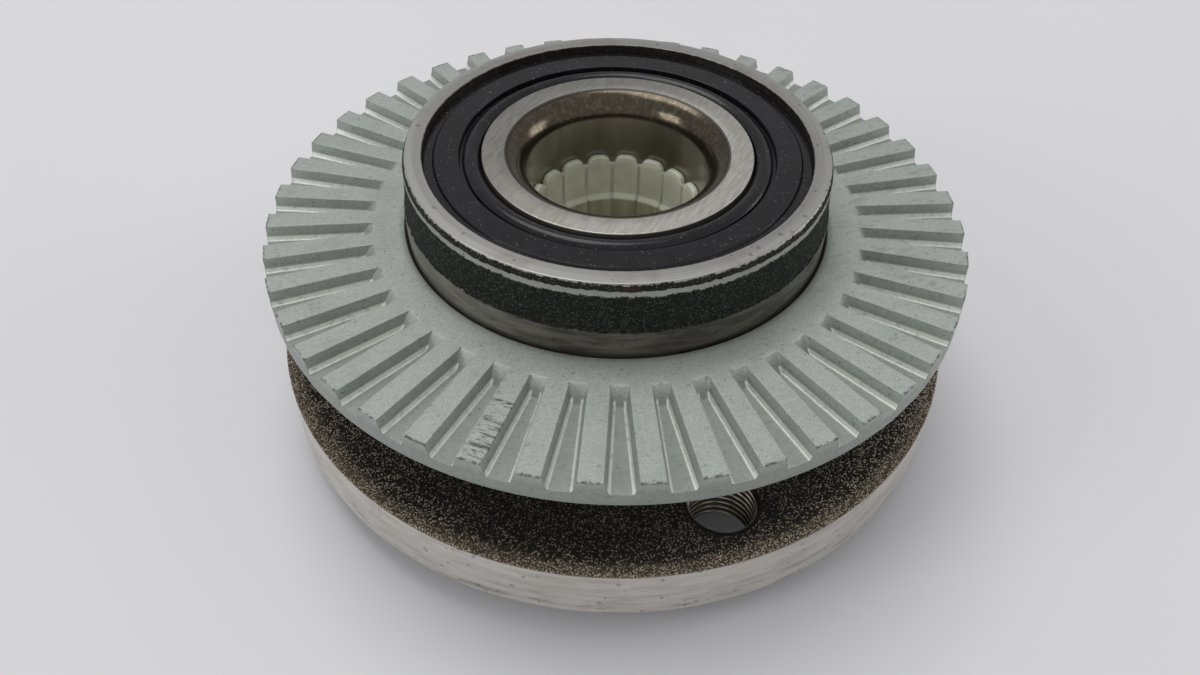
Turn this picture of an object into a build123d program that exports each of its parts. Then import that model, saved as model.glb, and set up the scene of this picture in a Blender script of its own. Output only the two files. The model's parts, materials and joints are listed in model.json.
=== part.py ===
from build123d import *
import os
from math import acos, asin, degrees, sqrt

# Flanged rear wheel hub bearing: the outer ring turns with the wheel, the two inner rings
# stand still on the spindle. Millimetres. +Z runs along the axle towards the vehicle, and
# the origin is the centre of the outboard face that the wheel is bolted against.

# ---- driving dimensions ---------------------------------------------------------------
# flanged outer ring
flange_t = 10.4
flange_edge = 0.5            # chamfer of the rim at the wheel side
flange_margin = 4.4          # metal outside the bolt holes
barrel_wall = 2.75           # wall around the inboard seal
barrel_edge_w = 0.45         # forged rounding around the inboard face
barrel_edge_h = 0.9
skim_h = 1.0                 # thin turned strip under that rounding
forging_taper = 0.35         # growth of the forged skin's radius down to the turned seat
neck_shoulder = 2.0          # step from the tone ring's seat to the neck
neck_fillet = 6.0
spigot_wall = 2.1            # wall around the seat of the dust cap
spigot_h = 6.0
spigot_chamfer = 0.8
spigot_relief_h = 0.8        # turned run-out groove in the root of the spigot
spigot_relief_depth = 0.4    # and in the wheel face beside it
cap_seat_step = 0.4          # step from the outboard seal's seat to the dust cap's
cap_seat_l = 3.6
rib_depth = 2.8              # bore of the rib between the raceways, outside the pitch circle

# wheel bolts
bolt_count = 4
bolt_circle_d = 98.0
bolt_d = 12.0

# tone ring, pressed on the barrel
tooth_count = 44
tone_d = 118.0
tone_seat_step = 1.0         # step from the barrel's face up to the ring's seat
tone_t = 4.8
tone_shoulder_h = 27.05      # wheel face to the shoulder that the ring is pressed against
tone_seat_h = 9.45
tone_edge = 0.6              # chamfer of the bore at the toothed side
groove_depth = 2.45
groove_land = 5.8            # flat part of the ring inside the grooves
groove_ramp = 2.3            # radial length of the ramp down to the groove floor
groove_inner_w = 2.7
groove_outer_w = 4.85
groove_draft = 16.0
tooth_phase = 0.85           # angle of one tooth from a bolt hole

# rolling elements
ball_d = 10.319
ball_count = 12
pitch_d = 48.0
row_spacing = 19.0
race_clearance = 0.08
inboard_row_phase = 0.0
outboard_row_phase = 15.0

# inner rings
bore_d = 30.0
land_depth = 1.75            # ground land under the seal lips, inside the pitch circle
row_to_face = 15.0           # ball centres to the ring's outer face
inner_recess = 1.1           # ring faces inside the barrel's and the spigot's ends
inner_edge = 0.3
lead_in_r = 3.35             # rounding of the bore mouth
lead_in_ground = 0.03        # what face grinding takes off that rounding

# ball cages
cage_inner_clearance = 0.55
cage_outer_clearance = 0.4
cage_web = 1.75              # material behind the balls
cage_prong = 3.0             # reach of the prongs past the ball centres
horn_gap = 1.1               # slot that splits each prong into two horns
horn_h = 2.0
pocket_clearance = 0.15

# seals
seat_in_step = 2.51          # step from the raceway's opening out to the inboard seal's seat
seat_out_step = 0.76
seat_edge = 0.3
seal_recess_in = 1.1         # seal face below the inboard barrel face
seal_recess_out = 4.3        # seal face inside the spigot, leaves the seat of a dust cap
seal_w = 4.6
skin_t = 0.55                # rubber around the insert's sleeve
cover_t = 1.1                # rubber over the insert's disc
insert_t = 0.8
rim_step = 0.35
rim_w = 1.9
lip_clearance = 0.2
lip_w = 2.8
lip_h = 2.4
lip_groove_w = 0.7
lip_groove_h = 1.15
insert_margin = 0.25

# retaining sleeve inside the inner rings
sleeve_clearance = 0.05
sleeve_l = 26.8
sleeve_wall = 1.05
sleeve_thick_wall = 2.05
sleeve_thick_l = 18.6
sleeve_edge = 0.6
tab_count = 18
tab_w = 4.05
tab_h = 1.7
tab_round = 1.2
crease_w = 0.8
crease_depth = 0.35
tab_phase = 2.1

# ---- derived sizes --------------------------------------------------------------------
pitch_r = pitch_d / 2
race_r = ball_d / 2 + race_clearance
open_r = pitch_r + race_r
land_r = pitch_r - land_depth
rib_r = pitch_r + rib_depth
bore_r = bore_d / 2
seat_in_r = open_r + seat_in_step
seat_out_r = open_r + seat_out_step
cap_r = seat_out_r + cap_seat_step
spigot_r = cap_r + spigot_wall
face_r = seat_in_r + barrel_wall
tone_seat_r = face_r + tone_seat_step
neck_r = tone_seat_r + neck_shoulder
groove_start_r = tone_seat_r + groove_land
flange_r = (bolt_circle_d + bolt_d) / 2 + flange_margin
inner_width = row_spacing / 2 + row_to_face
mid_z = inner_width + inner_recess - spigot_h
barrel_h = mid_z + inner_width + inner_recess
inboard_row_z = mid_z + row_spacing / 2
outboard_row_z = mid_z - row_spacing / 2
seal_in_z = barrel_h - seal_recess_in
seal_out_z = seal_recess_out - spigot_h


def revolved(*outline):
    """Solid of revolution about Z; the outline's coordinates are radius and height."""
    return revolve(Plane.XZ * make_face(outline), Axis.Z)


def outer_ring():
    """Forged flange, barrel, raceways, seal seats and spigot in one turned piece."""
    rib_rise = sqrt(race_r**2 - rib_depth**2)
    rib_angle = degrees(acos(rib_depth / race_r))
    skim_r = face_r + barrel_edge_w
    skim_z = barrel_h - barrel_edge_h
    seat_top_z = tone_shoulder_h + tone_seat_h
    relief_r = spigot_r - spigot_relief_depth
    bore_low = Polyline(
        (spigot_r - spigot_chamfer, -spigot_h),
        (cap_r + seat_edge, -spigot_h),
        (cap_r, -spigot_h + seat_edge),
        (cap_r, -spigot_h + cap_seat_l),
        (seat_out_r, -spigot_h + cap_seat_l),
        (seat_out_r, seal_out_z + seal_w),
        (open_r, seal_out_z + seal_w),
        (open_r, outboard_row_z),
    )
    race_low = CenterArc((pitch_r, outboard_row_z), race_r, 0, rib_angle)
    rib = Line((rib_r, outboard_row_z + rib_rise), (rib_r, inboard_row_z - rib_rise))
    race_high = CenterArc((pitch_r, inboard_row_z), race_r, -rib_angle, rib_angle)
    upper = Polyline(
        (open_r, inboard_row_z),
        (open_r, seal_in_z - seal_w),
        (seat_in_r, seal_in_z - seal_w),
        (seat_in_r, barrel_h - seat_edge),
        (seat_in_r + seat_edge, barrel_h),
        (face_r, barrel_h),
        (skim_r, skim_z),
        (skim_r, skim_z - skim_h),
        (skim_r + forging_taper, seat_top_z),
        (tone_seat_r, seat_top_z),
        (tone_seat_r, tone_shoulder_h),
        (neck_r, tone_shoulder_h),
        (neck_r, flange_t + neck_fillet),
    )
    root = CenterArc((neck_r + neck_fillet, flange_t + neck_fillet), neck_fillet, 180, 90)
    flange = Polyline(
        (neck_r + neck_fillet, flange_t),
        (flange_r, flange_t),
        (flange_r, flange_edge),
        (flange_r - flange_edge, 0),
        (spigot_r + 2 * spigot_relief_depth, 0),
        (spigot_r, spigot_relief_depth),
        (relief_r, spigot_relief_depth),
        (relief_r, -spigot_relief_h),
        (spigot_r, -spigot_relief_h),
        (spigot_r, -spigot_h + spigot_chamfer),
        (spigot_r - spigot_chamfer, -spigot_h),
    )
    ring = revolved(bore_low, race_low, rib, race_high, upper, root, flange)
    bolt_hole = Pos(0, 0, flange_t / 2) * Cylinder(bolt_d / 2, flange_t + 2)
    return ring - PolarLocations(bolt_circle_d / 2, bolt_count) * bolt_hole


def tone_ring():
    """Flat ring with radial grooves that open at its rim and ramp up at their inner end."""
    outer_r = tone_d / 2
    top = tone_shoulder_h + tone_t
    ring = revolved(
        Polyline(
            (tone_seat_r, tone_shoulder_h),
            (outer_r, tone_shoulder_h),
            (outer_r, top),
            (tone_seat_r + tone_edge, top),
            (tone_seat_r, top - tone_edge),
            close=True,
        )
    )
    run, over = outer_r - groove_start_r, 4.0
    flare = (groove_outer_w - groove_inner_w) / run
    inner_half = (groove_inner_w - flare * over) / 2
    outer_half = (groove_outer_w + flare * over) / 2
    plan = Plane((0, 0, top), x_dir=(1, 0, 0), z_dir=(0, 0, -1)) * make_face(
        Polyline(
            (groove_start_r - over, -inner_half),
            (outer_r + over, -outer_half),
            (outer_r + over, outer_half),
            (groove_start_r - over, inner_half),
            close=True,
        )
    )
    side = Plane.XZ * make_face(
        Polyline(
            (groove_start_r, top),
            (groove_start_r + groove_ramp, top - groove_depth),
            (outer_r + 1, top - groove_depth),
            (outer_r + 1, top),
            close=True,
        )
    )
    groove = extrude(plan, groove_depth, taper=groove_draft) & extrude(side, groove_outer_w, both=True)
    return ring - PolarLocations(0, tooth_count, start_angle=tooth_phase + 180 / tooth_count) * groove


def inner_ring():
    """Inner ring that stands on its joint face at Z = 0, with its raceway facing that joint."""
    row = row_spacing / 2
    shoulder = sqrt(race_r**2 - land_depth**2)
    wrap = degrees(acos(land_depth / race_r))
    rise = lead_in_r - lead_in_ground
    reach = sqrt(lead_in_r**2 - rise**2)
    bottom_r = pitch_r - race_r
    joint = Polyline(
        (bottom_r, row),
        (bottom_r, inner_edge),
        (bottom_r - inner_edge, 0),
        (bore_r + inner_edge, 0),
        (bore_r, inner_edge),
        (bore_r, inner_width - rise),
    )
    mouth = CenterArc(
        (bore_r + lead_in_r, inner_width - rise), lead_in_r, 180, -degrees(asin(rise / lead_in_r))
    )
    face = Polyline(
        (bore_r + lead_in_r - reach, inner_width),
        (land_r - inner_edge, inner_width),
        (land_r, inner_width - inner_edge),
        (land_r, row + shoulder),
    )
    race = CenterArc((pitch_r, row), race_r, 180 - wrap, wrap)
    return revolved(joint, mouth, face, race)


def cage():
    """Crown cage around Z = 0, with its closed side up and its horns down."""
    pocket_r = ball_d / 2 + pocket_clearance
    inner_r = land_r + cage_inner_clearance
    outer_r = rib_r - cage_outer_clearance
    ring = revolved(
        Polyline(
            (inner_r, -cage_prong),
            (outer_r, -cage_prong),
            (outer_r, pocket_r + cage_web),
            (inner_r, pocket_r + cage_web),
            close=True,
        )
    )
    pitch = 360 / ball_count
    gap = Pos(0, 0, horn_h / 2 - cage_prong - 0.5) * Box(ball_d, horn_gap, horn_h + 1)
    ring -= PolarLocations(pitch_r, ball_count) * Sphere(pocket_r)
    return ring - PolarLocations(pitch_r, ball_count, start_angle=pitch / 2) * gap


def seal_insert(seat_r):
    """Pressed steel angle ring inside a seal; Z = 0 is the seal's outer face."""
    sleeve_r = seat_r - skin_t
    hinge_r = land_r + lip_clearance + lip_w + lip_groove_w + insert_margin
    return revolved(
        Polyline(
            (hinge_r, -cover_t),
            (sleeve_r, -cover_t),
            (sleeve_r, -seal_w),
            (sleeve_r - insert_t, -seal_w),
            (sleeve_r - insert_t, -cover_t - insert_t),
            (hinge_r, -cover_t - insert_t),
            close=True,
        )
    )


def seal_rubber(seat_r):
    """Rubber skin, face and lip moulded on the insert; Z = 0 is the seal's outer face."""
    lip_r = land_r + lip_clearance
    bead_r = lip_r + lip_w
    groove_r = bead_r + lip_groove_w
    hinge_r = groove_r + insert_margin
    shoulder = lip_groove_h / 2
    bead = ThreePointArc(
        (lip_r + 0.1 * lip_w, -shoulder), (lip_r + 0.55 * lip_w, 0), (bead_r, -shoulder)
    )
    skin = Polyline(
        (bead_r, -shoulder),
        (bead_r, -lip_groove_h),
        (groove_r, -lip_groove_h),
        (groove_r, 0),
        (seat_r - rim_w, 0),
        (seat_r - rim_w + rim_step, -rim_step),
        (seat_r, -rim_step),
        (seat_r, -seal_w),
        (seat_r - skin_t, -seal_w),
        (seat_r - skin_t, -cover_t),
        (hinge_r, -cover_t),
        (hinge_r, -lip_h),
        (lip_r + 0.35 * lip_w, -lip_h),
        (lip_r, -0.75 * lip_h),
        (lip_r + 0.1 * lip_w, -shoulder),
    )
    return revolved(bead, skin)


def retaining_sleeve():
    """Nylon sleeve with a scalloped rim, creased inside between its tabs."""
    outer_r = bore_r - sleeve_clearance
    thin_r = outer_r - sleeve_wall
    thick_r = outer_r - sleeve_thick_wall
    bottom, top = mid_z - sleeve_l / 2, mid_z + sleeve_l / 2
    ledge = bottom + sleeve_thick_l
    blank = revolved(
        Polyline(
            (thick_r, bottom),
            (outer_r - sleeve_edge, bottom),
            (outer_r, bottom + sleeve_edge),
            (outer_r, top),
            (thin_r, top),
            (thin_r, ledge),
            (thick_r, ledge - (thin_r - thick_r) / 2),
            close=True,
        )
    )
    tab_bottom = top - tab_h
    tab = make_face(
        Polyline(
            (-tab_w / 2, tab_bottom),
            (tab_w / 2, tab_bottom),
            (tab_w / 2, top),
            (-tab_w / 2, top),
            close=True,
        )
    )
    tab = fillet(tab.vertices().sort_by(Axis.Y)[-2:], tab_round)
    tab_block = extrude(Plane.YZ.offset(thin_r - 1) * tab, sleeve_wall + 3)
    crown = Pos(0, 0, top) * Cylinder(outer_r + 1, 2 * tab_h)
    tabs = PolarLocations(0, tab_count, start_angle=tab_phase) * tab_block
    sleeve = blank - (crown - tabs)
    gaps = PolarLocations(0, tab_count, start_angle=tab_phase + 180 / tab_count)
    for wall_r, low, high in ((thin_r, ledge, top), (thick_r, bottom, ledge)):
        crease = Pos(wall_r, 0, (low + high) / 2) * Box(2 * crease_depth, crease_w, high - low)
        sleeve -= gaps * crease
    return sleeve


def ball_row(z, phase):
    """Balls of one row, in order around the axle."""
    ball = Sphere(ball_d / 2)
    return [place * ball for place in Pos(0, 0, z) * PolarLocations(pitch_r, ball_count, phase)]


solid_ring = inner_ring()
solid_cage = cage()
parts = {
    "hub_outer_ring": outer_ring(),
    "tone_ring": tone_ring(),
    "inner_ring_inboard": Pos(0, 0, mid_z) * solid_ring,
    "inner_ring_outboard": Pos(0, 0, mid_z) * mirror(solid_ring, about=Plane.XY),
    "cage_inboard": Pos(0, 0, inboard_row_z) * Rot(0, 0, inboard_row_phase) * solid_cage,
    "cage_outboard": Pos(0, 0, outboard_row_z)
    * Rot(0, 0, outboard_row_phase)
    * mirror(solid_cage, about=Plane.XY),
    "seal_insert_inboard": Pos(0, 0, seal_in_z) * seal_insert(seat_in_r),
    "seal_rubber_inboard": Pos(0, 0, seal_in_z) * seal_rubber(seat_in_r),
    "seal_insert_outboard": Pos(0, 0, seal_out_z) * mirror(seal_insert(seat_out_r), about=Plane.XY),
    "seal_rubber_outboard": Pos(0, 0, seal_out_z) * mirror(seal_rubber(seat_out_r), about=Plane.XY),
    "retaining_sleeve": retaining_sleeve(),
}
for row, z, phase in (
    ("inboard", inboard_row_z, inboard_row_phase),
    ("outboard", outboard_row_z, outboard_row_phase),
):
    for number, ball in enumerate(ball_row(z, phase), start=1):
        parts[f"ball_{row}_{number:02d}"] = ball

os.makedirs("parts", exist_ok=True)
for name, solid in parts.items():
    solid.label = name
    export_step(solid, f"parts/{name}.step")
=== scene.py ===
import json
import math

import bpy
import numpy as np
from bpy.props import FloatProperty, FloatVectorProperty, PointerProperty
from bpy.types import Operator, Panel, PropertyGroup
from mathutils import Matrix, Vector, noise


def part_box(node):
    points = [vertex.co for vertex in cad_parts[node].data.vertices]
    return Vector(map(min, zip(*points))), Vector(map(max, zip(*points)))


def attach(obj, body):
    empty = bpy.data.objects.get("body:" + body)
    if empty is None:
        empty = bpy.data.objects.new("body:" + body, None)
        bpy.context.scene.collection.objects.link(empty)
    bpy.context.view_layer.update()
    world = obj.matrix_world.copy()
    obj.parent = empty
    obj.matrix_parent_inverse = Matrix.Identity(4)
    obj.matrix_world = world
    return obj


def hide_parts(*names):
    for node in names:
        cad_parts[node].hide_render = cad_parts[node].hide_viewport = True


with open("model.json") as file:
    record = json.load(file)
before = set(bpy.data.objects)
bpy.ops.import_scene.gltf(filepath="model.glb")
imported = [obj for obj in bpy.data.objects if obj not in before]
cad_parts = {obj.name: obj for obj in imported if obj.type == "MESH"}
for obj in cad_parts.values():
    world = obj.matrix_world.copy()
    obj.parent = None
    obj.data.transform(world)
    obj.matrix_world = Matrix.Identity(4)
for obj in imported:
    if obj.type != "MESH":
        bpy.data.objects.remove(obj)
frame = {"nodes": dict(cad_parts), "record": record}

bl_info = {
    "name": "Wheel Hub Bearing",
    "version": (1, 0, 0),
    "blender": (4, 5, 0),
    "location": "3D View > Sidebar > Hub",
    "description": "Dresses a flanged wheel hub bearing: forged and ground steel, a coated tone ring, "
    "rubber seals and a nylon sleeve",
    "category": "Object",
}

# Outlines are in millimetres, as the hub's drawings are. Meshes are in metres.
MM = 0.001
TURN = 2 * math.pi
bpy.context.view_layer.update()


def reach(node):
    """Outer radius, bottom and top of a round node, in millimetres."""
    low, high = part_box(node)
    return high.x / MM, low.z / MM, high.z / MM


def mount(name):
    """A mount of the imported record."""
    return next(m for m in frame["record"]["mounts"] if m["name"] == name)


HUB_R, HUB_BOTTOM, HUB_TOP = reach("hub_outer_ring")
TONE_R, TONE_BOTTOM, TONE_TOP = reach("tone_ring")
RING_R, RING_JOINT, RING_FACE = reach("inner_ring_inboard")
SEAL_IN_R, SEAL_IN_LOW, SEAL_IN_FACE = reach("seal_rubber_inboard")
SEAL_OUT_R, SEAL_OUT_FACE, SEAL_OUT_HIGH = reach("seal_rubber_outboard")
SLEEVE_R, SLEEVE_BOTTOM, SLEEVE_TOP = reach("retaining_sleeve")
BOLT_R = mount("wheel_bolts")["dims"]["hole_r_mm"]
BOLT_CIRCLE_R = mount("wheel_bolts")["dims"]["pcd_mm"] / 2
BOLT_COUNT = mount("wheel_bolts")["dims"]["count"]
SPIGOT_R = mount("pilot_spigot")["dims"]["r_mm"]
CAP_SEAT_R = mount("dust_cap_seat")["dims"]["r_mm"]
BORE_R = mount("spindle_bore")["dims"]["r_mm"]

# Ball rows: radius of the raceways, radius of the pitch circle, and height of a row over the joint.
RACE_R, PITCH_R, ROW_HALF = 5.24, 24.0, 9.5

# Tone ring: its bore, the inner ends of its grooves, and the direction of the first groove. The feet
# of a groove's flanks lie this far from its middle line, at its inner end and at the rim.
TONE_BORE_R, GROOVE_START_R = 35.5, 41.3
TOOTH_COUNT, FIRST_GROOVE = 44, 4.941
GROOVE_FOOT_IN, GROOVE_FOOT_OUT = 0.75, 1.8
SCRATCH_ANGLE = 129.2

# Tabs of the sleeve, and the direction of the first one.
TAB_COUNT, FIRST_TAB = 18, 2.1


# ---- sizes and colours -------------------------------------------------------------------------


def length(name, description, default):
    """A length property whose default is given in millimetres."""
    return FloatProperty(name=name, description=description, default=default * MM, unit="LENGTH", precision=5)


def colour(name, description, default):
    """A colour property in linear light."""
    return FloatVectorProperty(
        name=name, description=description, default=default, size=3, min=0.0, max=1.0, subtype="COLOR"
    )


class HubSizes(PropertyGroup):
    """Sizes of edges and details that the frame doesn't give."""

    thread_pitch: length("Thread pitch", "Pitch of the wheel bolt threads", 1.25)
    thread_depth: length("Thread depth", "Height of the wheel bolt threads", 0.68)
    skin_relief: length("Skin relief", "Height of the grain on the forged flange", 0.16)
    groove_fillet: length("Groove fillet", "Rounding at the floor of the tone ring's grooves", 0.35)
    tooth_edge: length("Tooth edge", "Rounding along the tops of the teeth", 0.1)
    tab_hump: length("Tab hump", "Dip in the middle of each tab of the sleeve", 0.16)


class HubColours(PropertyGroup):
    """Colours of the finishes."""

    turned: colour("Turned steel", "Machined faces of the outer ring", (0.41, 0.405, 0.385))
    ground: colour("Ground steel", "Ground faces of the rings", (0.41, 0.40, 0.365))
    skin: colour("Forged skin", "Dark scale left by the forge", (0.007, 0.006, 0.005))
    # Pale grains of the forged skin, bright enough to stand for painted glints on them.
    grain: colour("Skin grain", "Bright grains in the forged skin", (0.96, 0.82, 0.64))
    coating: colour("Ring coating", "Zinc coating of the tone ring", (0.455, 0.49, 0.452))
    rubber: colour("Seal rubber", "Moulded black rubber", (0.006, 0.006, 0.007))
    nylon: colour("Sleeve nylon", "Natural nylon of the sleeve", (0.71, 0.73, 0.59))
    cage: colour("Cage nylon", "Glass-filled nylon of the cages", (0.52, 0.45, 0.27))
    polish: colour("Ball steel", "Polished balls", (0.62, 0.62, 0.63))
    floor: colour("Floor", "Pale table top", (0.69, 0.685, 0.70))


# ---- outlines and meshes -----------------------------------------------------------------------

# Steps of a rounded corner, and the room between it and its supporting points.
ARC_STEPS = 6
EDGE_SUPPORT = 0.06


def corner(before, point, after, radius):
    """Points of one rounded corner, with a supporting point on each of its two sides."""
    here = np.array(point[:2], float)
    back = np.array(before[:2], float) - here
    ahead = np.array(after[:2], float) - here
    room_back, room_ahead = np.linalg.norm(back), np.linalg.norm(ahead)
    back, ahead = back / room_back, ahead / room_ahead
    half = math.acos(float(np.clip(back @ ahead, -1, 1))) / 2
    if radius <= 0 or half > math.radians(89):
        return [here]
    cut = min(radius / math.tan(half), 0.45 * room_back, 0.45 * room_ahead)
    radius = cut * math.tan(half)
    middle = back + ahead
    centre = here + middle / np.linalg.norm(middle) * radius / math.sin(half)
    start, end = here + back * cut - centre, here + ahead * cut - centre
    first = math.atan2(start[1], start[0])
    sweep = (math.atan2(end[1], end[0]) - first + math.pi) % TURN - math.pi
    angles = [first + sweep * k / ARC_STEPS for k in range(ARC_STEPS + 1)]
    bend = [centre + radius * np.array((math.cos(a), math.sin(a))) for a in angles]
    spare = min(EDGE_SUPPORT, 0.3 * cut)
    return [bend[0] + back * spare, *bend, bend[-1] + ahead * spare]


def rounded(outline):
    """Outline of (radius, height, rounding) corners as a list of points."""
    points = []
    for n, point in enumerate(outline):
        after = outline[(n + 1) % len(outline)]
        points += corner(outline[n - 1], point, after, point[2] if len(point) > 2 else 0)
    return np.array(points)


def divided(points, longest):
    """Adds points so that no run of a closed outline is longer than longest."""
    result = []
    for n, point in enumerate(points):
        after = points[(n + 1) % len(points)]
        parts = max(1, math.ceil(np.linalg.norm(after - point) / longest))
        result += [point + (after - point) * k / parts for k in range(parts)]
    return np.array(result)


def arc(centre, radius, start, end, steps=16):
    """Points of an arc in an outline, angles in degrees."""
    angles = [math.radians(start + (end - start) * k / steps) for k in range(steps + 1)]
    return [(centre[0] + radius * math.cos(a), centre[1] + radius * math.sin(a)) for a in angles]


def turned_points(outline, angles):
    """Outline points turned about the axle: an array of rows, angles, xyz."""
    radius, height = outline[:, 0][:, None], outline[:, 1][:, None]
    flat = np.ones_like(angles)[None, :]
    return np.stack([radius * np.cos(angles), radius * np.sin(angles), height * flat], axis=2)


def even_angles(steps):
    """Evenly spaced angles around the axle."""
    return np.arange(steps) * TURN / steps


def mirrored(half, sign=1):
    """Values from a sector's middle to its end, repeated on its other side with the given sign."""
    return np.concatenate([sign * half[:0:-1], half[:-1]])


def repeated(sector, count, first):
    """A sector's angles in radians, repeated around the axle from the first direction in degrees."""
    return np.concatenate([sector + TURN / count * k for k in range(count)]) + math.radians(first)


def closed_rows(name, rows):
    """Closed mesh object of (radii, angles, heights) rows."""
    points = [np.stack([r * np.cos(a), r * np.sin(a), h + 0 * a], axis=1) for r, a, h in rows]
    return closed_mesh(name, np.stack(points, axis=0), sharp=50)


def closed_mesh(name, points, sharp=35.0):
    """Mesh object of a grid that closes on itself both along and around, outward facing."""
    rows, steps = points.shape[:2]
    index = np.arange(rows * steps).reshape(rows, steps)
    right, down = np.roll(index, -1, axis=1), np.roll(index, -1, axis=0)
    opposite = np.roll(right, -1, axis=0)
    faces = np.stack([index, down, opposite, right], axis=2).reshape(-1, 4)
    return new_object(name, points.reshape(-1, 3) * MM, faces.tolist(), sharp)


def new_object(name, vertices, faces, sharp=35.0):
    """Smooth mesh object with sharp edges where its faces turn by more than the given angle."""
    mesh = bpy.data.meshes.new(name)
    mesh.from_pydata([tuple(v) for v in vertices], [], faces)
    mesh.update()
    volume = sum(mesh.vertices[p.vertices[0]].co.dot(p.normal) * p.area for p in mesh.polygons)
    if volume < 0:
        mesh.flip_normals()
    mesh.shade_smooth()
    mesh.set_sharp_from_angle(angle=math.radians(sharp))
    made = bpy.data.objects.new(name, mesh)
    bpy.context.scene.collection.objects.link(made)
    return made


def dress(piece, material):
    """Gives a piece one material on all its faces."""
    piece.data.materials.clear()
    piece.data.materials.append(material)


def settle(piece, body, slot, material, *nodes):
    """Finishes a piece: its material, the body it rides on and the nodes it stands for. Its slot is not used."""
    dress(piece, material)
    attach(piece, body)
    if nodes:
        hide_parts(*nodes)


# ---- shader nodes ------------------------------------------------------------------------------


class Graph:
    """Short calls that add shader nodes to one tree."""

    def __init__(self, tree):
        self.tree = tree

    def node(self, kind, inputs, **settings):
        """A new node, with its settings made and its inputs fed."""
        made = self.tree.nodes.new(kind)
        for key, value in settings.items():
            setattr(made, key, value)
        for key, value in inputs.items():
            self.feed(made.inputs[key], value)
        return made

    def feed(self, socket, value):
        """Links a socket to an input, or sets the input to a constant."""
        if isinstance(value, bpy.types.NodeSocket):
            self.tree.links.new(value, socket)
        else:
            socket.default_value = value

    def math(self, operation, a, b=0.0):
        return self.node("ShaderNodeMath", {0: a, 1: b}, operation=operation).outputs[0]

    def times(self, first, *others):
        for other in others:
            first = self.math("MULTIPLY", first, other)
        return first

    def plus(self, a, b):
        return self.math("ADD", a, b)

    def minus(self, a, b):
        return self.math("SUBTRACT", a, b)

    def most(self, a, b):
        return self.math("MAXIMUM", a, b)

    def least(self, a, b):
        return self.math("MINIMUM", a, b)

    def above(self, value, limit):
        return self.math("GREATER_THAN", value, limit)

    def below(self, value, limit):
        return self.math("LESS_THAN", value, limit)

    def across(self, x, y):
        """Length of the diagonal of x and y."""
        return self.math("SQRT", self.plus(self.times(x, x), self.times(y, y)))

    def vector(self, operation, a, b=(0, 0, 0)):
        return self.node("ShaderNodeVectorMath", {0: a, 1: b}, operation=operation).outputs["Vector"]

    def measure(self, operation, a, b=(0, 0, 0)):
        """A vector operation that gives one number."""
        return self.node("ShaderNodeVectorMath", {0: a, 1: b}, operation=operation).outputs["Value"]

    def scaled(self, vector, factor):
        inputs = {0: vector, "Scale": factor}
        return self.node("ShaderNodeVectorMath", inputs, operation="SCALE").outputs["Vector"]

    def stretch(self, vector, factors):
        return self.vector("MULTIPLY", vector, factors)

    def turned(self, vector, angle):
        """A vector turned about the axle, angle in radians."""
        return self.node("ShaderNodeVectorRotate", {"Vector": vector, "Angle": angle}).outputs[0]

    def noise(self, vector, scale, detail=3.0, roughness=0.55):
        inputs = {"Vector": vector, "Scale": scale, "Detail": detail, "Roughness": roughness}
        return self.node("ShaderNodeTexNoise", inputs).outputs["Fac"]

    def cells(self, vector):
        """Distance to the nearest cell's middle, and two numbers of its own for each cell."""
        made = self.node("ShaderNodeTexVoronoi", {"Vector": vector, "Scale": 1.0})
        return made.outputs["Distance"], *self.split(made.outputs["Color"])[:2]

    def ramp(self, value, low, high, to_low=0.0, to_high=1.0, kind="SMOOTHSTEP"):
        inputs = {"Value": value, "From Min": low, "From Max": high, "To Min": to_low, "To Max": to_high}
        return self.node("ShaderNodeMapRange", inputs, interpolation_type=kind).outputs[0]

    def blend(self, factor, a, b, mode="MIX"):
        """A mix of two colours."""
        inputs = {0: factor, 6: opaque(a), 7: opaque(b)}
        return self.node("ShaderNodeMix", inputs, data_type="RGBA", blend_type=mode).outputs[2]

    def tinted(self, base, mask, share, tint):
        """The base colour, with a share of a tint where the mask is 1."""
        return self.blend(self.times(mask, share), base, tint)

    def between(self, factor, a, b):
        """A mix of two numbers."""
        return self.node("ShaderNodeMix", {0: factor, 2: a, 3: b}, data_type="FLOAT").outputs[0]

    def split(self, vector):
        return self.node("ShaderNodeSeparateXYZ", {0: vector}).outputs

    def join(self, x, y, z):
        return self.node("ShaderNodeCombineXYZ", {0: x, 1: y, 2: z}).outputs[0]

    def place(self, name, **inputs):
        """Puts in a shared node group and returns its outputs."""
        made = self.tree.nodes.new("ShaderNodeGroup")
        made.node_tree = bpy.data.node_groups[name]
        for key, value in inputs.items():
            self.feed(made.inputs[key], value)
        return made.outputs


def opaque(value):
    """A colour with an alpha, or a socket as it is."""
    return value if isinstance(value, bpy.types.NodeSocket) else (*value[:3], 1.0)


def dimmed(tint, *shares):
    """A colour times one share, or times a share for each of red, green and blue."""
    return tuple(share * c for share, c in zip(shares * 3 if len(shares) == 1 else shares, tint))


def off_nearest(g, point, first, count):
    """Angle to the nearest of evenly spaced directions about the axle, first in degrees."""
    pitch = TURN / count
    x, y = g.split(point)[:2]
    turn = g.minus(g.math("ARCTAN2", y, x), math.radians(first) - TURN)
    return g.math("ABSOLUTE", g.minus(g.math("MODULO", g.plus(turn, pitch / 2), pitch), pitch / 2))


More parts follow.
